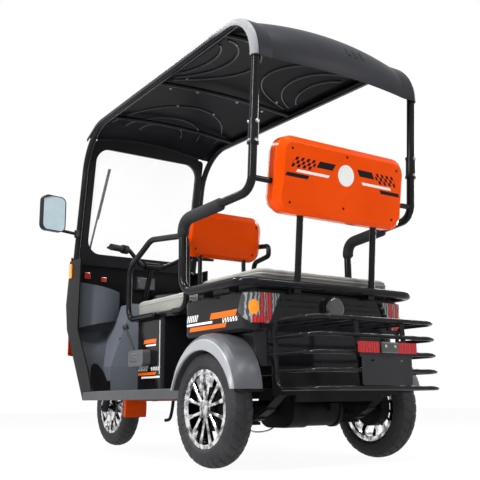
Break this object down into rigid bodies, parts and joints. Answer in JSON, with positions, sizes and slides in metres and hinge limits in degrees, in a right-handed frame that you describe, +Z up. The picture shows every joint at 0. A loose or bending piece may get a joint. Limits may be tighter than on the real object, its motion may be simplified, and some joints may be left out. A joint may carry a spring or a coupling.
{
  "type": "electric passenger tricycle",
  "caption": "Small electric passenger tricycle with a steered front wheel, driver's seat, rear bench with armrests, canopy on tube hoops, windscreen and a rear luggage rack.",
  "frame": {"origin": "on the ground below the middle of the outline", "axes": "+X the vehicle's left side, +Y towards its rear, +Z up; it drives towards -Y"},
  "size_m": [1.1572, 2.2954, 1.6853],
  "materials": {
    "tyre_rubber": "road tread, matt",
    "chrome_rim": "polished cast wheel",
    "black_paint": "gloss black tube",
    "black_gloss": "gloss black body panel",
    "black_plastic": "grained black moulding",
    "grey_plastic": "grey moulding",
    "roof_black": "satin black sheet",
    "orange_paint": "gloss orange",
    "fender_grey": "satin silver grey",
    "seat_vinyl": "pale grey vinyl",
    "foam_grey": "soft grey foam sleeve",
    "screen_glass": "clear",
    "mirror_face": "silvered",
    "lamp_lens": "red and amber lens",
    "head_lens": "clear lens",
    "bare_steel": "machined",
    "cast_alloy": "cast"
  },
  "bodies": {
    "chassis": {"rear_axle": "black_paint", "drive_motor": "cast_alloy", "rear_springs": "black_paint", "chassis_frame": "black_paint", "floor_pan": "black_plastic", "leg_shield": "black_plastic", "front_cowl": "orange_paint", "headlamp": "head_lens", "canopy_frame": "black_paint", "roof_panel": "roof_black", "windscreen_frame": "black_plastic", "windscreen_glass": "screen_glass", "bench_frame": "black_paint", "arm_pads": "foam_grey", "bench_back_shell": "orange_paint", "bench_back_pad": "seat_vinyl", "driver_back_shell": "orange_paint", "driver_back_pad": "seat_vinyl", "rear_body": "black_gloss", "rear_left_fender": "fender_grey", "rear_right_fender": "fender_grey", "battery_pack": "black_plastic", "driver_seat_box": "black_gloss", "driver_seat_frame": "black_paint", "driver_cushion": "seat_vinyl", "tail_lamps": "lamp_lens", "centre_lamp": "black_plastic", "rear_rack": "black_paint", "plate_holder": "black_plastic", "mirror_housings": "black_plastic", "mirror_glasses": "mirror_face", "wiper": "black_plastic", "parking_brake": "grey_plastic"},
    "steering": {"front_fork": "black_paint", "handlebar": "black_paint", "bar_controls": "black_plastic", "front_mudguard": "orange_paint"},
    "front_wheel": {"front_tyre": "tyre_rubber", "front_rim": "chrome_rim"},
    "rear_left_wheel": {"rear_left_tyre": "tyre_rubber", "rear_left_rim": "chrome_rim"},
    "rear_right_wheel": {"rear_right_tyre": "tyre_rubber", "rear_right_rim": "chrome_rim"},
    "bench_seat": {"bench_board": "black_plastic", "bench_cushion": "seat_vinyl"}
  },
  "joints": [
    {"name": "steering_turn", "type": "hinge", "parent": "chassis", "child": "steering", "pos_m": [0, -0.91551, 0.19232], "axis": [0, 0.4226, 0.9063], "range_deg": [-35, 35]},
    {"name": "front_wheel_spin", "type": "hinge", "parent": "steering", "child": "front_wheel", "pos_m": [0, -0.9427, 0.205], "axis": [1, 0, 0], "continuous": true},
    {"name": "rear_left_wheel_spin", "type": "hinge", "parent": "chassis", "child": "rear_left_wheel", "pos_m": [0.3995, 0.6513, 0.205], "axis": [1, 0, 0], "continuous": true},
    {"name": "rear_right_wheel_spin", "type": "hinge", "parent": "chassis", "child": "rear_right_wheel", "pos_m": [-0.3995, 0.6513, 0.205], "axis": [1, 0, 0], "continuous": true},
    {"name": "bench_seat_lift", "type": "hinge", "parent": "chassis", "child": "bench_seat", "pos_m": [0, 0.4033, 0.6163], "axis": [1, 0, 0], "range_deg": [0, 75]}
  ]
}
